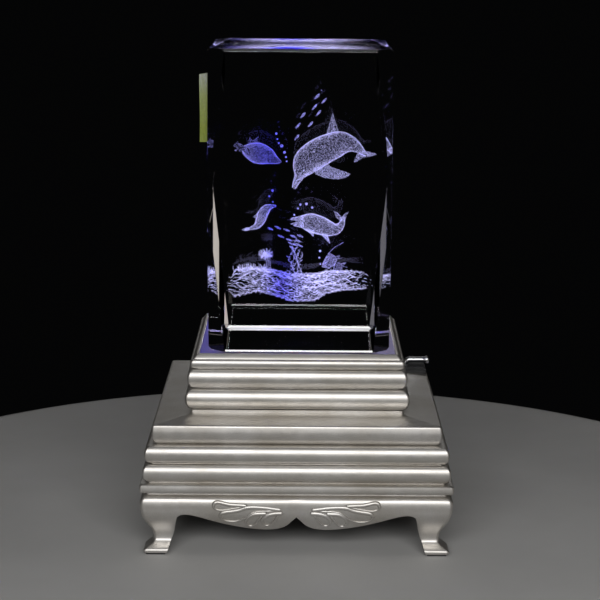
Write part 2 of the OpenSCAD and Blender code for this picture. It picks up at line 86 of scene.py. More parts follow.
class Surface:
    """A material in the making: its Principled shader and short calls that add nodes to it."""

    def __init__(self, name, **sockets):
        self.material = bpy.data.materials.new(name)
        self.material.use_nodes = True
        self.tree = self.material.node_tree
        self.shader = self.tree.nodes["Principled BSDF"]
        for socket, value in sockets.items():
            self.put(value, self.shader.inputs[socket.replace("_", " ")])
        self.place = self.node("ShaderNodeTexCoord").outputs["Object"]

    def node(self, kind, **settings):
        made = self.tree.nodes.new(kind)
        for key, value in settings.items():
            setattr(made, key, value)
        return made

    def feed(self, source, target):
        self.tree.links.new(source, target)

    def set(self, socket, source):
        self.feed(source, self.shader.inputs[socket])

    def stretched(self, x, y, z):
        """The object's own coordinates, scaled on each axis."""
        made = self.node("ShaderNodeMapping")
        made.inputs["Scale"].default_value = (x, y, z)
        self.feed(self.place, made.inputs["Vector"])
        return made.outputs["Vector"]

    def noise(self, size_mm, detail=3, roughness=0.5, place=None):
        """Noise whose features are about size_mm across."""
        made = self.node("ShaderNodeTexNoise")
        made.inputs["Scale"].default_value = 1 / (size_mm * MM)
        made.inputs["Detail"].default_value = detail
        made.inputs["Roughness"].default_value = roughness
        self.feed(place or self.place, made.inputs["Vector"])
        return made.outputs["Fac"]

    def ramp(self, source, *stops):
        """A colour ramp through (position, display colour) stops."""
        made = self.node("ShaderNodeValToRGB")
        elements = made.color_ramp.elements
        while len(elements) < len(stops):
            elements.new(0.5)
        for element, (position, colour) in zip(elements, stops):
            element.position = position
            element.color = linear(*colour)
        self.feed(source, made.inputs["Fac"])
        return made.outputs["Color"]

    def span(self, source, low, high, start=0.3, end=0.7):
        """The source's values from start to end, spread from low to high."""
        made = self.node("ShaderNodeMapRange")
        for socket, value in (("From Min", start), ("From Max", end), ("To Min", low), ("To Max", high)):
            made.inputs[socket].default_value = value
        self.feed(source, made.inputs["Value"])
        return made.outputs["Result"]

    def put(self, value, socket):
        """Sets a socket to a number or a display colour, or feeds it from another socket."""
        if isinstance(value, tuple):
            socket.default_value = linear(*value)
        elif isinstance(value, (int, float)):
            socket.default_value = value
        else:
            self.feed(value, socket)

    def maths(self, operation, *values):
        made = self.node("ShaderNodeMath", operation=operation)
        for socket, value in zip(made.inputs, values):
            self.put(value, socket)
        return made.outputs["Value"]

    def length(self, x, y):
        """How long the vector (x, y) is."""
        return self.maths("SQRT", self.maths("ADD", self.maths("POWER", x, 2.0), self.maths("POWER", y, 2.0)))

    def mix(self, factor, a, b, blend="MIX"):
        """Two colours mixed by a factor; each may be a socket or a display colour."""
        made = self.node("ShaderNodeMix", data_type="RGBA", blend_type=blend)
        inputs = made.inputs
        for socket, value in ((inputs["Factor"], factor), (inputs[MIX_A], a), (inputs[MIX_B], b)):
            self.put(value, socket)
        return made.outputs[MIX_RESULT]

    def gloss(self, size_mm, low, high, detail=3):
        """Roughness that wanders from low to high, in patches about size_mm across."""
        self.set("Roughness", self.span(self.noise(size_mm, detail), low, high))

    def axis(self, name):
        """One of the object's own coordinates, in metres."""
        made = self.node("ShaderNodeSeparateXYZ")
        self.feed(self.place, made.inputs["Vector"])
        return made.outputs[name]

    def bump(self, height, depth_mm, after=None):
        """Makes the surface rise by depth_mm where height is 1, on top of an earlier bump."""
        made = self.node("ShaderNodeBump")
        made.inputs["Distance"].default_value = depth_mm * MM
        self.feed(height, made.inputs["Height"])
        if after is not None:
            self.feed(after, made.inputs["Normal"])
        self.set("Normal", made.outputs["Normal"])
        return made.outputs["Normal"]


def silver_paint():
    """Sprayed silver on moulded plastic: fine flake, orange peel and a little grime."""
    s = Surface("silver_paint", Metallic=0.96)
    flake = s.noise(0.12, detail=2)
    cloud = s.noise(14, detail=4, roughness=0.6)
    colour = s.ramp(flake, (0.3, (206, 203, 199)), (0.7, (228, 225, 221)))
    grime = s.ramp(cloud, (0.35, (238, 236, 232)), (0.65, WHITE))
    s.set("Base Color", s.mix(1.0, colour, grime, "MULTIPLY"))
    s.gloss(3, 0.4, 0.48, detail=5)
    peel = s.bump(s.noise(0.9, detail=1), 0.005)
    s.bump(flake, 0.0015, after=peel)
    return s.material


def crystal_glass():
    """Clear optical glass with a perfect polish and faint streaks of tint."""
    s = Surface("crystal_glass", Transmission_Weight=1.0, IOR=1.52, Roughness=0.0)
    streaks = s.noise(9, detail=6, roughness=0.65, place=s.stretched(1, 1, 0.35))
    s.set("Base Color", s.ramp(streaks, (0.3, (252, 252, 255)), (0.7, (254, 255, 255))))
    return s.material


def blue_beam(s, centre_mm, width_mm):
    """Share of the painted blue glow: 1 where x is at the blue lamp's place, falling off to both sides."""
    from_lamp = s.maths("DIVIDE", s.maths("SUBTRACT", s.axis("X"), centre_mm * MM), width_mm * MM)
    return s.maths("POWER", math.e, s.maths("MULTIPLY", s.maths("POWER", from_lamp, 2.0), -1.0))


def fractures_with_painted_glow(name, painted_glow_colour, centre_mm, width_mm, strength):
    """Tiny fractures with a painted glow in place of the lamps' light from below: lavender white, and deep
    blue where the blue lamp's light is painted.
    """
    s = Surface(name, Base_Color=(190, 190, 215), Roughness=0.6)
    # Painted glow: the emission stands in for the lamps' light that the fractures scatter, varied in small
    # patches
    painted_glow_grain = s.span(s.noise(0.5, detail=2), 0.55, 1.25)
    s.set("Emission Color", s.mix(blue_beam(s, centre_mm, width_mm), painted_glow_colour, DEEP_BLUE))
    s.set("Emission Strength", s.maths("MULTIPLY", painted_glow_grain, strength))
    return s.material


def lit_window():
    """Frosted acrylic over the lamps, their light through it painted as a glow: brightest in the middle, with
    a painted spot of the blue lamp and painted shade along the front strip.
    """
    s = Surface("frosted_window", Base_Color=(70, 68, 90), Roughness=0.5, Subsurface_Weight=0.2)
    x = s.axis("X")
    y = s.axis("Y")
    # Painted glow of the lamps below: brightest in the middle, a blue spot and a violet side
    glow = s.span(s.length(x, y), 14.0, 0.2, 0.01, 0.024)
    blue_x = s.maths("ADD", x, 3 * MM)
    blue_spot = s.span(s.length(blue_x, y), 1.0, 0.0, 0.003, 0.011)
    violet_side = s.span(x, 0.8, 0.0, -0.027, -0.012)
    # Painted shade: along the front strip, except at the sides, the glow falls to a twentieth
    behind_rim = s.span(y, 0.05, 1.0, -0.025, -0.021)
    at_side = s.span(s.maths("ABSOLUTE", x), 0.0, 1.0, 0.0195, 0.0225)
    outside_painted_shade = s.maths("MAXIMUM", behind_rim, at_side)
    grain = s.span(s.noise(0.7, detail=5), 0.85, 1.1)
    colour = s.mix(blue_spot, (190, 184, 236), (30, 20, 255))
    colour = s.mix(violet_side, colour, (84, 62, 255))
    s.set("Emission Color", colour)
    s.set("Emission Strength", s.maths("MULTIPLY", s.maths("MULTIPLY", glow, grain), outside_painted_shade))
    s.bump(s.noise(0.35), 0.01)
    return s.material


def moulded(name, dark, light, low, high, grain_mm=0.4):
    """Moulded plastic, rubber or a bare part: mottled colour, uneven gloss and a fine texture."""
    s = Surface(name)
    s.set("Base Color", s.ramp(s.noise(6, detail=5), (0.35, dark), (0.65, light)))
    s.gloss(2.2, low, high, detail=4)
    s.bump(s.noise(grain_mm), 0.01)
    return s.material


def brushed_metal(name, dark, light, low, high, stretch=(1, 1, 12)):
    """Plated or drawn metal with a fine grain along one axis."""
    s = Surface(name, Metallic=1.0)
    grain = s.noise(0.15, place=s.stretched(*stretch))
    s.set("Base Color", s.ramp(grain, (0.3, dark), (0.7, light)))
    s.gloss(1.5, low, high, detail=4)
    s.bump(grain, 0.003)
    return s.material


def label_paper():
    """A blank price label: yellow-green paper that is paler towards its top, with fibres."""
    s = Surface("label_paper")
    lo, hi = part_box("price_label")
    fade = s.span(s.axis("Z"), 0.0, 1.0, lo.z + 0.004, hi.z)
    fibre = s.noise(0.25, detail=4, place=s.stretched(1, 1, 0.3))
    paper = s.ramp(fade, (0.0, (162, 176, 72)), (0.55, (176, 188, 112)), (1.0, (198, 204, 180)))
    tone = s.ramp(fibre, (0.3, (225, 225, 225)), (0.7, WHITE))
    s.set("Base Color", s.mix(1.0, paper, tone, "MULTIPLY"))
    s.set("Roughness", s.span(fibre, 0.6, 0.8))
    s.bump(fibre, 0.01)
    return s.material


def cell_wrap():
    """A dry cell's sleeve: black that turns copper-coloured towards +X, a little worn."""
    s = Surface("cell_wrap", Metallic=0.5)
    band = s.ramp(s.axis("X"), (0.0, (28, 28, 30)), (0.012, (184, 120, 62)))
    worn = s.ramp(s.noise(3, detail=5), (0.35, (225, 225, 225)), (0.65, WHITE))
    s.set("Base Color", s.mix(1.0, band, worn, "MULTIPLY"))
    s.gloss(2, 0.25, 0.4)
    return s.material


def circuit_board():
    """Green solder mask, lighter along its tracks."""
    s = Surface("circuit_board")
    cells = s.node("ShaderNodeTexVoronoi", feature="DISTANCE_TO_EDGE")
    cells.inputs["Scale"].default_value = 320
    s.feed(s.place, cells.inputs["Vector"])
    s.set("Base Color", s.ramp(cells.outputs["Distance"], (0.06, (46, 118, 60)), (0.12, (16, 66, 34))))
    s.gloss(2, 0.3, 0.5)
    return s.material


def lamp_lens(name, colour, glow):
    """A lamp's clear or tinted lens, lit from inside."""
    s = Surface(name, Base_Color=colour, Emission_Color=glow, IOR=1.5)
    s.gloss(0.8, 0.08, 0.2)
    s.set("Emission Strength", s.span(s.noise(1.2), 1.6, 2.2))
    return s.material


MATERIALS = {
    "crystal": crystal_glass(),
    "label": label_paper(),
    "silver_shell": silver_paint(),
    "window": lit_window(),
    "black_plastic": moulded("black_plastic", (14, 14, 15), (24, 24, 26), 0.5, 0.65),
    "white_plastic": moulded("white_plastic", (214, 212, 204), (232, 230, 224), 0.4, 0.55),
    "steel": brushed_metal("plated_steel", (150, 150, 152), (186, 186, 188), 0.28, 0.42),
    "lever_chrome": brushed_metal("lever_chrome", (188, 188, 192), (222, 222, 226), 0.12, 0.24,
                                  stretch=(12, 1, 1)),
    "contacts": brushed_metal("contact_metal", (176, 168, 140), (214, 206, 180), 0.25, 0.4),
    "cells": cell_wrap(),
    "board": circuit_board(),
    "led_lens": lamp_lens("led_lens", (240, 240, 250), (225, 222, 255)),
    "led_lens_blue": lamp_lens("led_lens_blue", (70, 80, 240), (40, 40, 255)),
    "rubber": moulded("foot_rubber", (18, 18, 18), (30, 29, 28), 0.75, 0.92, grain_mm=0.25),
    "insulation": moulded("wire_insulation", (140, 22, 20), (168, 34, 30), 0.4, 0.55),
}


# ---- Mesh helpers ----

def in_scene(name, data):
    """An object for a mesh, a lamp or a camera, linked to the scene."""
    made = bpy.data.objects.new(name, data)
    bpy.context.scene.collection.objects.link(made)
    return made


def object_from(name, bm):
    """An object from a bmesh in millimetres."""
    bmesh.ops.scale(bm, vec=(MM, MM, MM), verts=bm.verts)
    mesh = bpy.data.meshes.new(name)
    bm.to_mesh(mesh)
    bm.free()
    return in_scene(name, mesh)


def shade(piece, sharp_from=35):
    """Shades a piece smooth, except at edges of that many degrees or more."""
    piece.data.shade_smooth()
    piece.data.set_sharp_from_angle(angle=math.radians(sharp_from))


def declare(piece, body, replaced=None):
    """Says what a piece is: the body it rides and the CAD node it stands for."""
    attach(piece, body)
    if replaced:
        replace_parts(piece, replaced)


def finish_mesh(name, bm, slot, body, replaced=None, sharp_from=35):
    """Makes a piece from a bmesh in millimetres, with its shading and its material."""
    piece = object_from(name, bm)
    if sharp_from:
        shade(piece, sharp_from)
    piece.data.materials.append(MATERIALS[slot])
    declare(piece, body, replaced)
    return piece


def apply_modifiers(piece):
    """Turns a piece's modifiers into its mesh."""
    graph = bpy.context.evaluated_depsgraph_get()
    made = bpy.data.meshes.new_from_object(piece.evaluated_get(graph))
    piece.modifiers.clear()
    piece.data = made


def add_bevel(piece, width_mm, angle, segments):
    """Gives a piece a modifier that rounds its sharp edges."""
    bevel = piece.modifiers.new("soft_edges", "BEVEL")
    bevel.width = width_mm * MM
    bevel.segments = segments
    bevel.limit_method = "ANGLE"
    bevel.angle_limit = math.radians(angle)


def soften(piece, width_mm):
    """Rounds a piece's sharp edges in its mesh."""
    add_bevel(piece, width_mm, angle=38, segments=3)
    apply_modifiers(piece)
    shade(piece)


def cut(piece, cutter_bm):
    """Takes a closed bmesh, in millimetres, out of a piece."""
    cutter = object_from("cutter", cutter_bm)
    boolean = piece.modifiers.new("cut", "BOOLEAN")
    boolean.object = cutter
    boolean.solver = "EXACT"
    apply_modifiers(piece)
    bpy.data.objects.remove(cutter)
    shade(piece)


def quads(bm, rows, closed=False):
    """Fills the faces between rows of vertices; closed joins each row's ends."""
    for low, high in zip(rows, rows[1:]):
        count = len(low)
        for i in range(count if closed else count - 1):
            j = (i + 1) % count
            bm.faces.new([low[i], low[j], high[j], high[i]])


def bezier(a, b, c, d, steps):
    """Points on a cubic curve through four control points."""
    a, b, c, d = (np.array(p, float) for p in (a, b, c, d))
    t = np.linspace(0, 1, steps + 1)[:, None]
    u = 1 - t
    return u ** 3 * a + 3 * u * u * t * b + 3 * u * t * t * c + t ** 3 * d


def smooth_path(points, per_span):
    """A Catmull-Rom curve through points of any number of values."""
    p = np.array(points, float)
    p = np.vstack([2 * p[0] - p[1], p, 2 * p[-1] - p[-2]])
    made = []
    for i in range(1, len(p) - 2):
        for t in np.arange(per_span) / per_span:
            a, b, c, d = p[i - 1:i + 3]
            made.append(0.5 * (2 * b + (c - a) * t + (2 * a - 5 * b + 4 * c - d) * t ** 2
                               + (3 * b - a - 3 * c + d) * t ** 3))
    made.append(p[-2])
    return np.array(made)


def square_ring(half, z, corner, steps=5):
    """Points of a square with rounded corners, at one height."""
    made = []
    inner = half - corner
    for turn in range(4):
        for i in range(steps + 1):
            a = math.pi / 2 * (turn + i / steps)
            cx = inner * (1 if turn in (0, 3) else -1)
            cy = inner * (1 if turn in (0, 1) else -1)
            made.append((cx + corner * math.cos(a), cy + corner * math.sin(a), z))
    return made


def moulding(outline, corner):
    """A square ring with a section of (half width, z) points; a third value is that point's own corner."""
    bm = bmesh.new()
    rows = []
    for half, z, *own_corner in outline:
        rows.append([bm.verts.new(p) for p in square_ring(half, z, *(own_corner or [corner]))])
    quads(bm, rows + rows[:1], closed=True)
    face_outward(bm)
    return bm


def rib(crown, z, h, sag, steps=14):
    """Section of a convex rib from z up to z + h, with its furthest point at crown."""
    deep = 1.35 * sag
    middle = z + h / 2
    angles = [math.pi * (i / steps - 0.5) for i in range(steps + 1)]
    return [(crown - deep + deep * math.cos(a), middle + h / 2 * math.sin(a)) for a in angles]


def face_outward(bm):
    """Turns all faces of a closed mesh outwards."""
    bmesh.ops.recalc_face_normals(bm, faces=bm.faces)
    if bm.calc_volume(signed=True) < 0:
        bmesh.ops.reverse_faces(bm, faces=bm.faces)


def box_mesh(*boxes):
    """Boxes, each between two values on each axis, as one bmesh."""
    bm = bmesh.new()
    for box in boxes:
        lo, hi = (Vector(corner) for corner in zip(*box))
        place = Matrix.Translation((lo + hi) / 2) @ Matrix.Diagonal(hi - lo).to_4x4()
        bmesh.ops.create_cube(bm, size=1, matrix=place)
    return bm


def box_mm(node):
    """The lowest and highest corners of a CAD node, in millimetres."""
    return [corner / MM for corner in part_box(node)]


# ---- Turntable and lower tier ----

turntable_lo, turntable_hi = box_mm("turntable_housing")
window_lo, window_hi = box_mm("light_window")
housing_hi = box_mm("lower_housing")[1]
skirt_lo, skirt_hi = box_mm("skirt_frame")


def turntable_section():
    """The upper tier: three ribs, a leaning rim and the seat of the window."""
    foot = turntable_lo.z
    crown = turntable_hi.x
    rim = turntable_hi.z
    seat = window_lo.z
    cavity, lip = 26.2, 24.6
    return [
        (cavity, foot),
        *rib(crown, foot, 5.6, 1.3),
        (crown - 2.4, foot + 5.62), (crown - 2.4, foot + 5.82),
        *rib(crown - 0.6, foot + 5.85, 5.1, 1.0),
        (crown - 2.6, foot + 10.97), (crown - 2.6, foot + 11.2),
        *rib(crown - 1.4, foot + 11.22, 2.45, 0.45),
        (crown - 2.3, foot + 13.69), (crown - 2.14, foot + 13.78), (crown - 2.16, foot + 13.9),
        (crown - 3.02, rim - 0.16), (crown - 3.12, rim - 0.04), (crown - 3.25, rim),
        (window_hi.x + 0.15, rim), (window_hi.x + 0.02, rim - 0.12), (window_hi.x + 0.02, seat),
        (lip, seat), (lip, seat - 2), (cavity, seat - 2),
    ]


def lower_section():
    """The lower tier: a ledge, three ribs, the hipped top and the plinth with the bush's bore."""
    foot = skirt_hi.z
    ledge = housing_hi.x
    hip_edge = foot + 18.05
    hip_top = foot + 18.9
    plinth_top = housing_hi.z
    cavity, ceiling = 36.4, 33.6
    bore, flange, boss = 10.05, 13.05, 12.5
    return [
        (cavity, foot),
        (ledge - 0.25, foot), (ledge - 0.06, foot + 0.22), (ledge, foot + 0.8), (ledge, foot + 1.4),
        (ledge - 0.08, foot + 1.98), (ledge - 0.3, foot + 2.2), (40.3, foot + 2.28), (40.1, foot + 2.5),
        *rib(41.6, foot + 2.65, 4.85, 1.0),
        (39.5, foot + 7.52), (39.5, foot + 7.74),
        *rib(41.1, foot + 7.76, 4.8, 1.0),
        (38.2, foot + 12.58), (37.8, foot + 12.8),
        *rib(39.2, foot + 12.85, 5.8, 0.75)[:9],
        (39.02, hip_edge - 0.58), (38.98, hip_edge - 0.36), (38.87, hip_edge - 0.17),
        (38.7, hip_edge - 0.04), (38.48, hip_edge + 0.02),
        (29.4, hip_top), (29.1, hip_top + 0.1), (29.1, plinth_top - 0.1), (29.0, plinth_top),
        (flange, plinth_top, flange), (flange, plinth_top - 0.9, flange),
        (bore, plinth_top - 0.9, bore), (bore, ceiling - 1.3, bore),
        (boss, ceiling - 1.3, boss), (boss, ceiling, boss), (cavity, ceiling),
    ]


finish_mesh("turntable_shell", moulding(turntable_section(), 0.7),
            "silver_shell", "turntable", "turntable_housing")
lower_shell = finish_mesh("lower_tier_shell", moulding(lower_section(), 0.6),
                          "silver_shell", "base", "lower_housing")


bezel_lo, bezel_hi = box_mm("switch_bezel")
lever_lo, lever_hi = box_mm("switch_lever")
lever_r = 0.9
stem_x = lever_lo.x + lever_r
stem_y = (lever_lo.y + lever_hi.y) / 2
arm_z = lever_hi.z - 1.15
NECK_X, NECK_Y = (31, 35.6), (26, 36)
cut(lower_shell, box_mesh((NECK_X, NECK_Y, (33, 39))))


# ---- Skirt with cabriole feet ----

SWELL, ANKLE, TOE = 42.3, 38.8, 41.5
SKIRT_TOP, COLLAR, WALL, POST = 16.7, 40.6, 37.2, 33.9
SHOULDER = (32.2, 10.9)

skirt_curve = np.vstack([
    bezier((41.2, SKIRT_TOP), (42.2, SKIRT_TOP - 0.2), (SWELL + 0.2, 14.8), (SWELL, 13.6), 16),
    bezier((SWELL - 0.1, 12.8), (SWELL - 0.4, 9.2), (ANKLE + 0.2, 7.4), (ANKLE, 4.4), 24),
    bezier((ANKLE, 4), (ANKLE + 0.1, 2.6), (TOE - 0.5, 2.4), (TOE, 1.3), 16),
    [(TOE - 0.2, skirt_lo.z)],
])[::-1]
leg_side = np.vstack([
    [(35.1, skirt_lo.z), (34.4, 2.4)],
    bezier((33.9, 3.9), (32.9, 6.2), (33, 8.2), (32.4, 10.3), 12),
    [SHOULDER],
])
arch_curve = np.vstack([
    [SHOULDER],
    bezier((31.9, 11.2), (30.4, 12), (28.4, 11.6), (25.1, 10.5), 12),
    bezier((24.5, 10.3), (18, 8), (12.5, 6.8), (7.5, 6.8), 16),
    bezier((7, 6.85), (3.6, 7), (2.2, 8.4), (1.4, 9.6), 12),
    [(0, 11)],
])[::-1]


def skirt_at(z):
    """Half width of the skirt's outer face at a height."""
    return float(np.interp(z, skirt_curve[:, 1], skirt_curve[:, 0]))


def skirt_octant(bm):
    """One eighth of the skirt: from the middle of the front to the front right corner's diagonal."""
    corner, collar_corner = 1.1, 0.6
    apron_x = np.concatenate([
        np.linspace(0, 1.4, 5), np.linspace(2, 7, 9), np.linspace(7.7, 24.4, 20),
        np.linspace(25.1, SHOULDER[0], 10)
    ])
    share = np.linspace(0, 1, 13)
    heights = SHOULDER[1] + share * (SKIRT_TOP - SHOULDER[1])
    lower = np.concatenate([np.linspace(skirt_lo.z, 4.4, 13), np.linspace(4.9, SHOULDER[1], 11)])

    def vert(x, y, z):
        return bm.verts.new((x, y, z))

    def corner_row(start, half, z, r):
        """A leg row from its inner edge to the corner's diagonal."""
        flat = [vert(start + (half - r - start) * s, -half, z) for s in np.linspace(0, 1, 7)]
        arc = []
        for i in range(1, 5):
            a = math.radians(-90 + 45 * i / 4)
            arc.append(vert(half - r + r * math.cos(a), -(half - r) + r * math.sin(a), z))
        return flat + arc

    def apron_row(half, heights_at):
        """A row over the arch, at one half width or on the skirt's outer face."""
        return [vert(x, -(half or skirt_at(z)), z) for x, z in zip(apron_x, heights_at)]

    def wall_row(xs, zs, d):
        """A row at a share d of the way from the outer face to the inner wall."""
        return [vert(x, -(skirt_at(z) + (WALL - skirt_at(z)) * d), z) for x, z in zip(xs, zs)]

    arch_z = np.interp(apron_x, arch_curve[:, 0], arch_curve[:, 1])
    apron = [apron_row(None, arch_z + s * (SKIRT_TOP - arch_z)) for s in share]
    upper_leg = [corner_row(SHOULDER[0], skirt_at(z), z, corner) for z in heights]
    collar_steps = [(COLLAR + 0.25, SKIRT_TOP + 0.06), (COLLAR, SKIRT_TOP + 0.3), (COLLAR, skirt_hi.z)]
    for half, z in collar_steps:
        apron.append(apron_row(half, [z] * len(apron_x)))
        upper_leg.append(corner_row(SHOULDER[0], half, z, collar_corner))
    quads(bm, apron)
    quads(bm, upper_leg)
    side_x = [float(np.interp(z, leg_side[:, 1], leg_side[:, 0])) for z in lower]
    quads(bm, [corner_row(x, skirt_at(z), z, min(corner, 0.5 + 0.1 * z)) for x, z in zip(side_x, lower)])

    # The top rim, the inner wall above the arch, and the undersides of the arch and the leg
    depth = np.linspace(0, 1, 4)
    top_z = skirt_hi.z
    quads(bm, [[vert(x, -half, top_z) for x in apron_x] for half in (COLLAR, WALL)])
    top_leg = corner_row(SHOULDER[0], COLLAR, top_z, collar_corner)
    inner_x = [POST if abs(v.co.x - POST) < 0.5 else min(v.co.x, WALL) for v in top_leg]
    quads(bm, [top_leg, [vert(x, -WALL, top_z) for x in inner_x]])
    quads(bm, [[vert(x, -WALL, z + s * (top_z - z)) for x, z in zip(apron_x, arch_z)] for s in (0, 1)])
    quads(bm, [[vert(x, -WALL, z) for x in inner_x] for z in (SHOULDER[1], top_z)])
    quads(bm, [wall_row(apron_x, arch_z, d) for d in depth])
    quads(bm, [wall_row(side_x, lower, d) for d in depth])

    # The inside of the leg: the wall's back, then the corner post up to the diagonal
    inside = []
    for x, z in zip(side_x, lower):
        post = max(POST, x + 0.3)
        inside.append([vert(x, -WALL, z), vert(post, -WALL, z), vert(post, -post, z)])
    quads(bm, inside)

    # The post's top, and the sole of the foot
    along = sorted(set(x for x in inner_x if x >= POST))
    bm.faces.new([vert(x, -WALL, SHOULDER[1]) for x in along] + [vert(POST, -POST, SHOULDER[1])])
    x, z = side_x[0], lower[0]
    outer = corner_row(x, skirt_at(z), z, 0.5 + 0.1 * z)
    edge = [wall_row([x], [z], d)[0] for d in depth[:0:-1]]
    bm.faces.new(outer + [vert(x + 0.3, -(x + 0.3), z), vert(x + 0.3, -WALL, z)] + edge)


def add_copies(bm, moves):
    """Adds a copy of the whole bmesh, moved by each matrix."""
    original = bm.verts[:] + bm.edges[:] + bm.faces[:]
    for move in moves:
        copied = bmesh.ops.duplicate(bm, geom=original)["geom"]
        bmesh.ops.transform(bm, matrix=move, verts=[v for v in copied if isinstance(v, bmesh.types.BMVert)])


def skirt_mesh():
    """The whole skirt: the eighth, its mirror image, and three turns of the pair."""
    bm = bmesh.new()
    skirt_octant(bm)
    bmesh.ops.remove_doubles(bm, verts=bm.verts, dist=0.004)
    across_diagonal = Matrix(((0, -1, 0, 0), (-1, 0, 0, 0), (0, 0, 1, 0), (0, 0, 0, 1)))
    add_copies(bm, [across_diagonal])
    add_copies(bm, [Matrix.Rotation(math.radians(turn), 4, "Z") for turn in (90, 180, 270)])
    bmesh.ops.remove_doubles(bm, verts=bm.verts, dist=0.004)
    face_outward(bm)
    return bm


# Clockwise outlines of the four leaves left of the notch, as (x, z)
LEAVES = [
    [(-22.4, 14.3), (-22.1, 15), (-21.2, 15.3), (-19.7, 15), (-17.8, 14.6), (-15.8, 14.5), (-13.6, 14.3),
     (-15.3, 13.9), (-17.3, 13.5), (-19.3, 13.1), (-21, 13.1), (-22.1, 13.6)],
    [(-20.7, 11.2), (-20.3, 12), (-19.2, 12.4), (-17.2, 12.7), (-15.2, 13.1), (-13.8, 13.7), (-12.4, 13.9),
     (-10.7, 13.9), (-8.1, 13.7), (-6.1, 13.4), (-4.2, 13.1), (-6.7, 12.9), (-9.5, 12.8), (-11.5, 12.4),
     (-12.7, 11.7), (-13.8, 10.8), (-15.5, 9.9), (-17.2, 9.6), (-18.9, 9.8), (-20.1, 10.4)],
    [(-13.8, 9.4), (-13.4, 10.4), (-12.5, 11.3), (-11.2, 11.9), (-9.8, 12), (-8.3, 12), (-9.3, 11.5),
     (-9.8, 10.8), (-10.4, 9.8), (-11.1, 8.7), (-12.1, 8.1), (-13.1, 8.3)],
    [(-9.4, 9.6), (-8.9, 10.6), (-8, 11.4), (-6.7, 11.9), (-5.4, 12.1), (-4, 12.1), (-5, 11.4),
     (-5.6, 10.4), (-6.3, 9.3), (-7.3, 8.4), (-8.4, 8.3), (-9.1, 8.9)],
]
LEAF_SIDES = 8


def add_leaf(bm, outline, mirrored, turn):
    """A raised line round one leaf, fuller along its upper edge, that follows the skirt's surface."""
    path = smooth_path(outline + outline[:1], 5)[:-1]
    if mirrored:
        path = path[::-1] * (-1, 1)
    count = len(path)
    rows = []
    swing = Matrix.Rotation(math.radians(turn), 3, "Z")
    for i, (x, z) in enumerate(path):
        along = path[(i + 1) % count] - path[i - 1]
        along = along / np.linalg.norm(along)
        outward = np.array([-along[1], along[0]])
        upper = 0.5 + 0.5 * outward[1]
        wide = 0.3 + 0.3 * upper
        high = 0.28 + 0.14 * upper
        slope = (skirt_at(z + 0.3) - skirt_at(z - 0.3)) / 0.6
        normal = Vector((0, -1, -slope)).normalized()
        side = Vector((outward[0], -slope * outward[1], outward[1])).normalized()
        base = Vector((x, -skirt_at(z), z))
        ring = []
        for k in range(LEAF_SIDES):
            a = math.tau * k / LEAF_SIDES
            lift = math.sin(a) * (high if math.sin(a) > 0 else 0.12)
            ring.append(bm.verts.new(swing @ (base + side * wide * math.cos(a) + normal * lift)))
        rows.append(ring)
    quads(bm, rows + rows[:1], closed=True)


skirt = finish_mesh("skirt_with_feet", skirt_mesh(), "silver_shell", "base", "skirt_frame")
soften(skirt, 0.22)
leaf_bm = bmesh.new()
for quarter_turn, flipped, leaf_outline in itertools.product((0, 90, 180, 270), (False, True), LEAVES):
    add_leaf(leaf_bm, leaf_outline, flipped, quarter_turn)
face_outward(leaf_bm)
finish_mesh("leaf_relief", leaf_bm, "silver_shell", "base", sharp_from=80)


# ---- Crystal ----

crystal_lo, crystal_hi = box_mm("crystal_block")
crystal_mid = (crystal_lo + crystal_hi) / 2
FACET, BEVEL = 4.6, 0.7
AIR_GAP = 0.05


def crystal_mesh():
    """The block, cut by eight leaning corner planes and eight edge bevels."""
    half = (crystal_hi - crystal_lo) / 2
    bm = box_mesh(zip(-half, half))
    lean = math.atan(FACET / math.sqrt(2) / half.z)
    diagonal = Vector((1, 1, 0)).normalized() * math.cos(lean)
    for end, turn in itertools.product((-1, 1), range(4)):
        swing = Matrix.Rotation(math.pi / 2 * turn, 3, "Z")
        bevel = (0, -half.y, end * (half.z - BEVEL)), (0, -1, end)
        facet = (half.x, half.y, 0), diagonal + Vector((0, 0, end * math.sin(lean)))
        for point, normal in (bevel, facet):
            bmesh.ops.bisect_plane(bm, geom=bm.verts[:] + bm.edges[:] + bm.faces[:], dist=1e-5,
                                   plane_co=swing @ Vector(point), plane_no=swing @ Vector(normal),
                                   clear_outer=True)
            bmesh.ops.contextual_create(bm, geom=[e for e in bm.edges if e.is_boundary])
    bmesh.ops.remove_doubles(bm, verts=bm.verts, dist=1e-4)
    face_outward(bm)
    bmesh.ops.bevel(bm, geom=bm.edges[:], offset=0.09, segments=2, profile=0.5, affect="EDGES")
    place = crystal_mid + Vector((0, 0, AIR_GAP / 2))
    squeeze = 1 - AIR_GAP / (crystal_hi.z - crystal_lo.z)
    bmesh.ops.scale(bm, vec=(1, 1, squeeze), verts=bm.verts)
    bmesh.ops.translate(bm, vec=place, verts=bm.verts)
    return bm


finish_mesh("crystal", crystal_mesh(), "crystal", "crystal", "crystal_block", sharp_from=None)


# ---- Engraving: clouds of tiny fractures ----

def dot_cloud(name, points, material, replaced):
    """A small tetrahedron at each point, which is measured from the middle of the block's bottom face."""
    points = points + np.array([crystal_mid.x, crystal_mid.y, crystal_lo.z])
    corners = np.array([(1, 1, 1), (1, -1, -1), (-1, 1, -1), (-1, -1, 1)]) / math.sqrt(3)
    sides = np.array([(0, 1, 2), (0, 3, 1), (0, 2, 3), (1, 3, 2)])
    radius = rng.uniform(0.05, 0.085, len(points))
    verts = points[:, None, :] + corners[None] * radius[:, None, None]
    faces = sides[None] + 4 * np.arange(len(points))[:, None, None]
    mesh = bpy.data.meshes.new(name)
    mesh.from_pydata((verts.reshape(-1, 3) * MM).tolist(), [], faces.reshape(-1, 3).tolist())
    mesh.materials.append(material)
    declare(in_scene(name, mesh), "crystal", replaced)


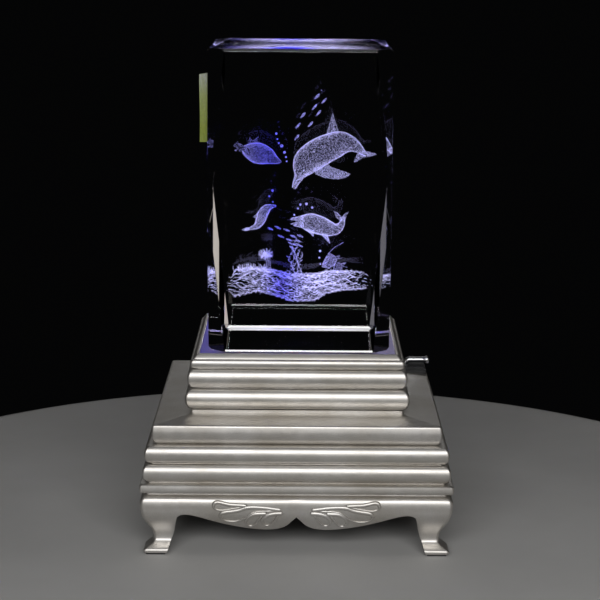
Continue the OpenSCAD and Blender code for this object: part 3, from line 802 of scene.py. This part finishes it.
def left_of(steps):
    """Unit vectors to the left of each (x, z) step."""
    along = steps / np.linalg.norm(steps, axis=1)[:, None]
    return np.stack([-along[:, 1], along[:, 0]], 1)


def body_dots(spine, depth, density, y=0.0, edge=0.4, ridge=0.0):
    """Dots on the skin and along the outline of a body, which has a spine of (x, z, half height) points.

    depth is its roundness in y, and ridge the share of the dots that gather on its left along the spine.
    """
    path = smooth_path(spine, 12)
    path[:, 2] = np.maximum(path[:, 2], 0.05)
    steps = np.linalg.norm(np.diff(path[:, :2], axis=0), axis=1)
    weight = steps * (path[:-1, 2] + path[1:, 2]) / 2
    count = int(weight.sum() * math.pi * (1 + depth) * density)
    span = rng.choice(len(steps), count, p=weight / weight.sum())
    t = rng.random(count)[:, None]
    at = path[span] * (1 - t) + path[span + 1] * t
    angle = rng.random(count) * math.tau
    gathered = rng.random(count) < ridge
    angle[gathered] = rng.normal(math.pi / 2, 0.45, gathered.sum())
    left = left_of(path[span + 1, :2] - path[span, :2])
    skin = at[:, :2] + left * (at[:, 2] * np.sin(angle))[:, None]
    dots = np.stack([skin[:, 0], y + at[:, 2] * depth * np.cos(angle), skin[:, 1]], 1)
    left = left_of(np.gradient(path[:, :2], axis=0))
    edges = [line_dots(path[:, :2] + side * left * path[:, 2:3], y, edge) for side in (-1, 1)]
    return np.vstack([dots, *edges])


def line_dots(path, y, spacing, spread=0.06):
    """Dots along a line of (x, z) points."""
    path = np.asarray(path, float)
    steps = np.linalg.norm(np.diff(path, axis=0), axis=1)
    run = np.concatenate([[0], np.cumsum(steps)])
    count = max(2, int(run[-1] / spacing))
    s = rng.random(count) * run[-1]
    x = np.interp(s, run, path[:, 0])
    z = np.interp(s, run, path[:, 1])
    return np.stack([x, np.full(count, y), z], 1) + rng.normal(0, spread, (count, 3))


def curve_dots(points, y, spacing, spread):
    """Dots along a smooth curve through (x, z) points."""
    return line_dots(smooth_path(points, 6), y, spacing, spread)


def patch_dots(outline, density, y=0.0, thick=0.25, edge=0.22):
    """Dots over a flat fin with that outline, and along its edge."""
    p = np.array(outline, float)
    lo, hi = p.min(0), p.max(0)
    count = int(np.prod(hi - lo) * density)
    at = lo + rng.random((count, 2)) * (hi - lo)
    inside = np.zeros(count, bool)
    for a, b in zip(p, np.roll(p, -1, 0)):
        crosses = (a[1] > at[:, 1]) != (b[1] > at[:, 1])
        reach = (b[0] - a[0]) * (at[:, 1] - a[1]) / (b[1] - a[1] + 1e-9) + a[0]
        inside ^= crosses & (at[:, 0] < reach)
    at = at[inside]
    fill = np.stack([at[:, 0], y + rng.uniform(-thick, thick, len(at)), at[:, 1]], 1)
    return np.vstack([fill, line_dots(np.vstack([p, p[:1]]), y, edge)])


def bubble_dots(x, z, r, y=0.0):
    """Dots on a small ball."""
    count = int(30 + 180 * r)
    d = rng.normal(0, 1, (count, 3))
    return np.array([x, y, z]) + 0.62 * r * d / np.linalg.norm(d, axis=1)[:, None]


def little_fish(x, z, length, heading, y=0.0):
    """A fish of a few dozen dots, heading that many degrees above +X."""
    c, s = math.cos(math.radians(heading)), math.sin(math.radians(heading))
    body = [(0.5, 0.03), (0.25, 0.1), (0, 0.13), (-0.25, 0.08), (-0.4, 0.03), (-0.5, 0.1)]
    spine = [(x + length * a * c, z + length * a * s, length * b) for a, b in body]
    return body_dots(spine, 0.6, 52, y, edge=0.16)


def dolphins():
    """The large dolphin, the one with an open mouth, and the small one."""
    large = [
        body_dots([(-1.7, 43.3, 0.4), (-1.1, 44.8, 0.8), (-0.3, 46.6, 1.15), (0.6, 48.6, 2.75),
                   (2, 50.8, 3.7), (4.6, 52.9, 3.95), (7.9, 54.7, 3.75), (11.3, 55.9, 3.3), (14, 55.7, 2.2),
                   (16.1, 54.6, 1.25), (17.5, 53.4, 0.7), (18.5, 52.6, 0.5)], 0.8, 19,
                  edge=0.045, ridge=0.16),
        patch_dots([(7.3, 58.2), (8.1, 61.2), (9, 64.4), (9.6, 62.1), (10.9, 58.6)], 48),
        patch_dots([(4.3, 47.5), (3.9, 49.4), (7.2, 51), (8.4, 49.6), (11.4, 48.5), (14.1, 47.6),
                    (12.8, 46.6), (10.7, 46.1), (7.2, 46.4)], 62, y=-2.2),
        patch_dots([(16.5, 53.9), (18.4, 53.8), (21.3, 53), (19.3, 52.3), (17.4, 52), (16.3, 51.2),
                    (15.1, 50.7), (15.5, 52), (16, 53)], 62, thick=0.8),
        patch_dots([(-1.9, 43.4), (-1.9, 45.2), (-1.2, 47.2), (0.8, 47.9), (3.4, 49), (3.6, 47.8),
                    (1.2, 46.4), (-0.4, 44.4), (-1.1, 43.1)], 34, y=-0.8, thick=0.6),
        curve_dots([(-1.6, 44.2), (-0.7, 45.6), (0.6, 46.6), (2.4, 47.8)], -1.6, 0.03, 0.07),
        bubble_dots(1.1, 48.5, 0.28, -2.4),
    ]
    middle = [
        body_dots([(0.2, 34.2, 1.2), (1.2, 34, 1.9), (3.2, 33.6, 2.6), (5.9, 32.8, 2.5), (8.3, 32, 2.05),
                   (10.2, 31.9, 1.5), (11.5, 32.9, 0.95), (12.1, 34.4, 0.5), (11.9, 35.4, 0.4)], 0.8, 27,
                  edge=0.04, ridge=0.15),
        patch_dots([(-2.5, 34.5), (-2.3, 34.9), (-0.6, 35.3), (1, 35.7), (1.2, 34.6), (-0.6, 34.2)], 90,
                   y=-0.3, edge=0.06),
        patch_dots([(-2.4, 33.3), (-0.9, 33.8), (0.9, 33.9), (1.2, 32.4), (0, 32.4), (-1.2, 32.7)], 80,
                   y=-0.3, edge=0.06),
        patch_dots([(11.7, 35.1), (10.4, 36.6), (9.6, 36.9), (10.2, 35.2), (11.4, 34.2), (12.6, 34.4),
                    (13.6, 36.8), (12.7, 36.2)], 62, thick=0.6),
        patch_dots([(1.8, 31.8), (3.9, 29.9), (3.9, 31.6)], 120, y=-1.2, edge=0.08),
        patch_dots([(5.8, 30.7), (8.5, 28), (7.8, 30.6)], 120, y=-1.2, edge=0.08),
        bubble_dots(1.3, 34.2, 0.2, -1.4),
    ]
    small = [
        body_dots([(-6.6, 38.3, 0.2), (-8, 38.1, 0.56), (-9.2, 37.5, 1.1), (-10.3, 36, 1.4),
                   (-10.9, 34.3, 1.28), (-11.9, 32.7, 0.83), (-13.7, 31.9, 0.33), (-15.4, 31.4, 0.22)],
                  0.8, 32, edge=0.05, ridge=0.1),
        patch_dots([(-11.8, 36.3), (-12.9, 35.1), (-11.9, 34.7)], 60),
        patch_dots([(-13.6, 32.2), (-14.9, 32.1), (-16.2, 31.4), (-14.6, 31.2)], 70, thick=0.5),
    ]
    return np.vstack(large + middle + small)


def fish():
    """The deep-bodied blue fish, the angelfish, two schools and strings of bubbles."""
    parts = [
        body_dots([(-15.8, 54.2, 0.8), (-14, 53.7, 2.15), (-11.9, 53.1, 2.85), (-9.2, 52.3, 2.4),
                   (-7, 51.2, 1.15), (-5.2, 50.6, 0.2)], 0.55, 30, edge=0.05, ridge=0.12),
        patch_dots([(-15.8, 55), (-17.4, 56.2), (-18.4, 55), (-17.2, 54.4), (-18.2, 53.6), (-15.8, 53.5)], 20,
                   edge=0.25),
        patch_dots([(-14.6, 55.6), (-13.9, 57.3), (-13.2, 56.4), (-12.3, 57), (-11.5, 57.5), (-11.2, 55.8)],
                   22, edge=0.25),
        patch_dots([(-16, 53.1), (-15.6, 52.4), (-14.8, 51.6), (-14, 51.3), (-14.2, 52.6)], 22, edge=0.25),
        patch_dots([(8.2, 25.6), (7, 23.6), (6.3, 21.7), (8.2, 21.3), (9.8, 22.2), (10.5, 23.7), (9.6, 25)],
                   60, y=-5, thick=0.8, edge=0.06),
        curve_dots([(8.2, 25.6), (9.8, 27.2), (11, 27.9), (12.3, 28.7)], -5, 0.08, 0.02),
        curve_dots([(6.4, 22.4), (7.6, 22.9), (8.6, 24.6)], -5, 0.05, 0.12),
        line_dots([(10, 24.6), (11.2, 24.8), (10.6, 24), (11.9, 24.2)], -5, 0.07, 0.08),
        patch_dots([(9.5, 20.8), (9.9, 22.5), (11.2, 23.1), (12.1, 22), (11.6, 20.5)], 30, y=-5, thick=0.5,
                   edge=0.12),
        line_dots([(11.4, 22.4), (12.9, 23), (12.1, 21.8), (13.3, 21.6)], -5, 0.08, 0.1),
    ]
    for x, z in [(4.7, 68.7), (6.6, 67.5), (4, 65.8), (5.1, 64.1), (0.8, 63.5), (-0.6, 60.5), (2.9, 61),
                 (-0.9, 57.3)]:
        parts.append(little_fish(x, z, 1.9, 50, y=3))
    parts.append(bubble_dots(5.8, 70.4, 0.12, 3))
    for x, z in [(-8.2, 32), (-6.1, 32.4), (-3.6, 31.7), (-5.2, 29.9), (-1.7, 29.9), (0.1, 30.1),
                 (-2.8, 28.9), (-0.3, 28.6)]:
        parts.append(little_fish(x, z, 1.8, 158, y=-2))
    for x, z in [(-2.6, 27.9), (-1.4, 27.5), (0.2, 27.2), (-2.2, 26.7)]:
        parts.append(little_fish(x, z, 1.4, 150, y=-1))
    for x, z, r in [(-6.6, 58.5, 0.45), (-6.3, 57, 0.28), (-5.9, 55.9, 0.35), (-5.1, 55.1, 0.62),
                    (-4.3, 53.3, 0.55), (-3.9, 52, 0.35), (-3.7, 50.8, 0.3), (-7.6, 42.6, 0.45),
                    (-8.5, 41, 0.35), (-7.5, 39.4, 0.25), (0.2, 38.7, 0.45), (1.9, 38.9, 0.5),
                    (3.5, 37.9, 0.45), (-0.5, 37.6, 0.33), (-1.5, 35.8, 0.33), (5.8, 25.6, 0.45),
                    (5.6, 23.7, 0.35), (5.9, 21.9, 0.25)]:
        parts.append(bubble_dots(x, z, r))
    return np.vstack(parts)


def waves(x, y, seed, wide=0.55, deep=0.85):
    """Smooth uneven ripples over a plane, from a few sines with seeded directions."""
    local = np.random.default_rng(seed)
    total = np.zeros_like(x)
    for _ in range(9):
        a = local.random() * math.tau
        size = local.uniform(1.2, 3.2)
        phase = local.random() * math.tau
        total += np.sin(math.tau * (wide * x * math.cos(a) + deep * y * math.sin(a)) / size + phase)
    return total / 3


def reef():
    """The seabed as a net of ridges, its ragged ends and back edge, and the coral on it."""
    count = 190000
    deep = 13
    x = rng.uniform(-20.5, 20.5, count)
    y = rng.uniform(-deep, deep, count)
    front_x = [-20, -17.8, -11.4, -6.1, -2.5, 4.4, 7.3, 11.5, 17.9, 20]
    front_z = [15.6, 14.3, 15.8, 14.4, 13.1, 13.3, 15.2, 16.2, 16.6, 17.4]
    back_x = [-19.5, -18.3, -13.6, -7.8, -2.7, 4.6, 7.9, 14.8, 19.5]
    back_z = [16.8, 18.7, 19.4, 18.8, 17.5, 17.6, 18.5, 18.5, 17.8]
    share = (y + deep) / (2 * deep)
    z = np.interp(x, front_x, front_z) * (1 - share) + np.interp(x, back_x, back_z) * share
    z = z + 0.4 * waves(x, y, 3, 0.4, 0.3) * np.sin(math.pi * share)

    def hump(value, middle, width):
        return np.exp(-((value - middle) / width) ** 2)

    net = np.minimum(np.abs(waves(x, y, 11)), np.abs(waves(x, y, 23, 0.7, 1.1)))
    bright = hump(x, 5.5, 3.2) * hump(share, 0.6, 0.35) + 0.8 * hump(share, 0.95, 0.12)
    hollow = hump(x, 3.2, 2.6) * hump(share, 0.12, 0.2) + 0.7 * hump(x, -15.5, 2.6) * hump(share, 0.25, 0.2)
    strands = np.abs(np.sin(y * 2.2 + 0.7 * np.sin(x * 0.9)))
    edge_x = 18.2 + 1.7 * np.sin(y * 1.9 + np.sign(x)) + 0.5 * np.sin(y * 5.3)
    ragged = (x > edge_x - 3.5) & (strands > 0.35)
    keep = (net < (0.055 + 0.07 * rng.random(count)) * (1 + 1.6 * bright) * (1 - 0.6 * hollow))
    keep &= (np.abs(x) < edge_x) & ~ragged
    bed = np.stack([x, y, z], 1)[keep]
    rim_x = np.linspace(-18.4, 18.4, 220)
    jag = 0.16 * np.sin(rim_x * 4.3) + 0.12 * np.sin(rim_x * 9.7 + 1)
    rims = []
    for edge_y, xs, zs, spacing in ((-deep, front_x, front_z, 0.028), (deep, back_x, back_z, 0.045)):
        rims.append(line_dots(np.stack([rim_x, np.interp(rim_x, xs, zs) + jag], 1), edge_y, spacing, 0.14))
    tufts = []
    for start in rng.uniform(-18.8, -9, 46):
        root = np.interp(start, back_x, back_z)
        lean, tall = rng.uniform(-0.9, 0.9), rng.uniform(0.4, 1.7)
        tufts.append(line_dots([(start, root - 0.6), (start + lean, root + tall)], 11, 0.055, 0.05))
    return np.vstack([bed, *rims, *tufts, *coral()])


def coral():
    """A fuzzy bush on a stem, and a column of thin branches."""
    parts = []
    middle = np.array([-9.3, 2.0, 24.3])
    for _ in range(110):
        d = rng.normal(0, 1, 3)
        d /= np.linalg.norm(d)
        tip = middle + d * np.array([2.5, 1.6, 1.7]) * rng.uniform(0.5, 1.15)
        t = rng.random(16)[:, None] ** 0.6
        parts.append(middle * (1 - t) + tip * t + rng.normal(0, 0.05, (16, 3)))
    for offset in (-0.4, 0.1, 0.5):
        stem = [(-9 + offset, 22.8), (-8.6 + offset, 21), (-9 + offset, 19.2), (-8.5 + offset, 17.8)]
        parts.append(curve_dots(stem, 2.0, 0.07, 0.1))
    for strand, height in enumerate((26.5, 28.7, 27.5, 25.5, 24.5)):
        y = 4 + 0.5 * strand
        levels = np.linspace(17.6, height, 12)
        sway = 0.5 * np.sin(levels * 1.3 + strand * 2.1) + 0.05 * (levels - 18) + rng.normal(0, 0.16, 12)
        x = -2.6 + 0.65 * strand + sway
        parts.append(line_dots(np.stack([x, levels], 1), y, 0.06))
        for at, level in list(zip(x, levels))[1:-1]:
            parts.append(line_dots([(at, level), (at + rng.uniform(-1.1, 1.1), level + 0.5)], y, 0.07, 0.04))
    return parts


# Each cloud's glow is painted: lavender white, and deep blue where the blue lamp's light is painted
dot_cloud("dolphin_dots", dolphins(),
          fractures_with_painted_glow("dolphin_fractures_painted_glow", (192, 190, 250), -6.5, 3.0, 0.8), "engraved_dolphins")
dot_cloud("fish_dots", fish(),
          fractures_with_painted_glow("fish_fractures_painted_glow", (168, 162, 250), -8.5, 6.5, 0.8), "engraved_fish")
dot_cloud("reef_dots", reef(),
          fractures_with_painted_glow("reef_fractures_painted_glow", (206, 204, 250), -4.6, 4.2, 0.85), "engraved_reef")


# ---- Window, label, switch and feet ----

window_bm = box_mesh(zip(window_lo, window_hi))
bmesh.ops.bevel(window_bm, geom=window_bm.edges[:], offset=0.18, segments=3, profile=0.5, affect="EDGES")
finish_mesh("window_plate", window_bm, "window", "turntable", "light_window")


CARD = 0.12


def label_mesh():
    """A strip of thin card stuck to the block's left face, its front end curling away from the glass."""
    lo, hi = box_mm("price_label")
    glass = crystal_lo.x - CARD
    flat = [(glass, y) for y in np.linspace(hi.y, lo.y + 1.6, 14)]
    curl = bezier(flat[-1], (glass, lo.y + 0.6), (crystal_lo.x - 1.0, lo.y + 0.25),
                  (lo.x + 0.05, lo.y + 0.15), 12)
    bm = bmesh.new()
    rows = []
    for up in np.linspace(0, 1, 20):
        row = []
        for x, y in [*flat, *curl[1:]]:
            out = max(0.0, glass - x) / (crystal_lo.x - lo.x)
            bend = 0.175 * out * math.sin(5.2 * up)
            droop = 0.42 * out * up if up > 0.9 else 0
            row.append(bm.verts.new((x + 0.4 * bend, y + bend, lo.z + up * (hi.z - lo.z) - droop)))
        rows.append(row)
    quads(bm, rows)
    bmesh.ops.recalc_face_normals(bm, faces=bm.faces)
    bmesh.ops.solidify(bm, geom=bm.faces[:], thickness=CARD)
    return bm


finish_mesh("paper_label", label_mesh(), "label", "crystal", "price_label", sharp_from=50)


def bar(path, radii, sides=20):
    """A round bar along a path that is level in y, with its own radius at each point and closed ends."""
    bm = bmesh.new()
    back = Vector((0, 1, 0))
    rows = []
    for i, (point, r) in enumerate(zip(path, radii)):
        along = Vector(path[min(i + 1, len(path) - 1)]) - Vector(path[max(i - 1, 0)])
        across = along.cross(back).normalized()
        rows.append([
            bm.verts.new(Vector(point) + r * (math.cos(a) * across + math.sin(a) * back))
            for a in (math.tau * k / sides for k in range(sides))
        ])
    quads(bm, rows, closed=True)
    bm.faces.new(rows[0][::-1])
    bm.faces.new(rows[-1])
    face_outward(bm)
    return bm


def lever_mesh():
    """The lever: a vertical stem bent over into a short arm with a flared, rounded tip."""
    bend_r = 1.5
    bend_z = arm_z - bend_r
    tip = lever_hi.x
    path = [(stem_x, stem_y, z) for z in np.linspace(lever_lo.z, bend_z, 6)]
    for i in range(1, 9):
        a = math.pi / 2 * i / 9
        path.append((stem_x + bend_r * (1 - math.cos(a)), stem_y, bend_z + bend_r * math.sin(a)))
    radii = [lever_r - 0.02] * len(path)
    for x, r in [(stem_x + bend_r, 0.88), (tip - 3, 0.86), (tip - 2.2, 0.84), (tip - 1.7, 0.9),
                 (tip - 1.2, 1.05), (tip - 0.7, 1.14), (tip - 0.35, 1.12), (tip - 0.12, 0.98),
                 (tip - 0.02, 0.75)]:
        path.append((x, stem_y, arm_z))
        radii.append(r)
    return bar(path, radii)


finish_mesh("lever_rod", lever_mesh(), "lever_chrome", "lever", "switch_lever", sharp_from=50)


def switch_plate():
    """The switch's black plate with the neck under it, drilled for the stem."""
    bm = box_mesh(((bezel_lo.x, bezel_hi.x), (bezel_lo.y, bezel_hi.y), (35.6, bezel_hi.z)),
                  (NECK_X, NECK_Y, (bezel_lo.z, 35.5)))
    plate = finish_mesh("switch_plate", bm, "black_plastic", "base", "switch_bezel")
    soften(plate, 0.28)
    drill = bmesh.new()
    drill_r = lever_r + 0.1
    bmesh.ops.create_cone(drill, cap_ends=True, segments=32, radius1=drill_r, radius2=drill_r, depth=20,
                          matrix=Matrix.Translation((stem_x, stem_y, 36)))
    cut(plate, drill)


switch_plate()


def pad_mesh():
    """The four square rubber pads under the feet."""
    lo, hi = box_mm("foot_pads")
    size = 5.2
    ends = [((a, a + size), (b - size, b)) for a, b in zip(lo.xy, hi.xy)]
    return box_mesh(*((x, y, (lo.z, hi.z)) for x in ends[0] for y in ends[1]))


soften(finish_mesh("rubber_pads", pad_mesh(), "rubber", "base", "foot_pads"), 0.14)


# ---- Finishes of the CAD pieces that are shown as they are ----

SLOT_OF = {part["node"]: part["material_slot"] for part in frame["record"]["subparts"]}
replaced_nodes = {n for o in bpy.context.scene.objects for n in o.get("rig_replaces", [])}
SOFT_EDGES = {"bottom_cover": 0.15, "battery_door": 0.18, "battery_holder": 0.2}
for name, node in frame["nodes"].items():
    if name in replaced_nodes:
        continue
    node.data.materials.clear()
    node.data.materials.append(MATERIALS[SLOT_OF[name]])
    if name in SOFT_EDGES:
        add_bevel(node, SOFT_EDGES[name], angle=40, segments=2)


# ---- Floor, lights and camera ----

def floor():
    """A round pale table top with a soft edge."""
    s = Surface("table_top")
    s.set("Base Color", s.ramp(s.noise(60, detail=4), (0.35, (186, 185, 183)), (0.65, (196, 195, 193))))
    s.gloss(25, 0.55, 0.7)
    s.bump(s.noise(0.8), 0.01)
    bm = bmesh.new()
    profile = [(0.001, 0), (146, 0), (148.6, -0.4), (149.7, -1.5), (150, -3), (150, -12), (0.001, -12)]
    angles = [math.tau * k / 160 for k in range(160)]
    quads(bm, [[bm.verts.new((r * math.cos(a), r * math.sin(a), z)) for a in angles] for r, z in profile],
          closed=True)
    bmesh.ops.remove_doubles(bm, verts=bm.verts, dist=0.01)
    face_outward(bm)
    table = object_from("table_top", bm)
    shade(table, 40)
    table.data.materials.append(s.material)


def softbox(name, place, target, size, watts, colour=(1, 1, 1)):
    """A rectangular soft light at a place in metres, turned to a target."""
    data = bpy.data.lights.new(name, "AREA")
    data.shape = "RECTANGLE"
    data.size, data.size_y = size
    data.energy = watts
    data.color = colour
    lamp = in_scene(name, data)
    lamp.location = place
    lamp.rotation_euler = (Vector(target) - Vector(place)).to_track_quat("-Z", "Y").to_euler()


def camera():
    """A long lens in front, a little above the block's top, looking slightly down."""
    data = bpy.data.cameras.new("camera")
    data.lens = 111.95
    data.sensor_width = 36
    data.clip_start = 0.01
    eye = in_scene("camera", data)
    eye.location = Vector((1.1, -524.8, 166.0)) * MM
    yaw, down, roll = 0.06, 11.14, 0.37
    turns = ((yaw, "Z"), (90 - down, "X"), (roll, "Z"))
    first, second, third = (Matrix.Rotation(math.radians(angle), 3, axis) for angle, axis in turns)
    eye.rotation_euler = (first @ second @ third).to_euler()
    bpy.context.scene.camera = eye


floor()
WARM, COOL = (1, 0.92, 0.84), (0.85, 0.85, 1)
softbox("front_softbox", (0, -0.69, 0.335), (0, 0, 0.03), (0.7, 0.23), 3.4)
softbox("overhead_card", (0, -0.1, 0.62), (0, -0.1, 0), (0.3, 0.14), 0.11)
softbox("back_strip", (0, 0.6, 0.262), (0, 0, 0.055), (0.3, 0.1), 0.1)
# Low panels light the sides of the base; the cards are what the block's rear facets pick up
for x, panel, card in ((-0.75, (0.033, COOL), (0.03, WARM)), (0.75, (0.14, WARM), (0.007, COOL))):
    softbox("side_panel", (x, -0.16, 0.1), (0, -0.16, 0.1), (0.3, 0.3), *panel)
    softbox("high_side_card", (x, 0.03, 0.31), (0, 0.03, 0.31), (0.15, 0.13), *card)
for x, watts, colour in ((0.04, 0.0075, WARM), (-0.04, 0.0016, COOL)):
    softbox("high_back_card", (x, 0.6, 0.38), (x, 0, 0.06), (0.075, 0.05), watts, colour)
for x in (-0.26, 0.26):
    softbox("low_back_card", (x, 0.6, 0.262), (0, 0, 0.055), (0.16, 0.1), 0.012, WARM)

world = bpy.data.worlds.new("dark_room")
world.use_nodes = True
background = world.node_tree.nodes["Background"].inputs
background["Color"].default_value = (0.9, 0.92, 1.0, 1)
background["Strength"].default_value = 0.0015
bpy.context.scene.world = world
bpy.context.scene.view_settings.view_transform = "Standard"
camera()
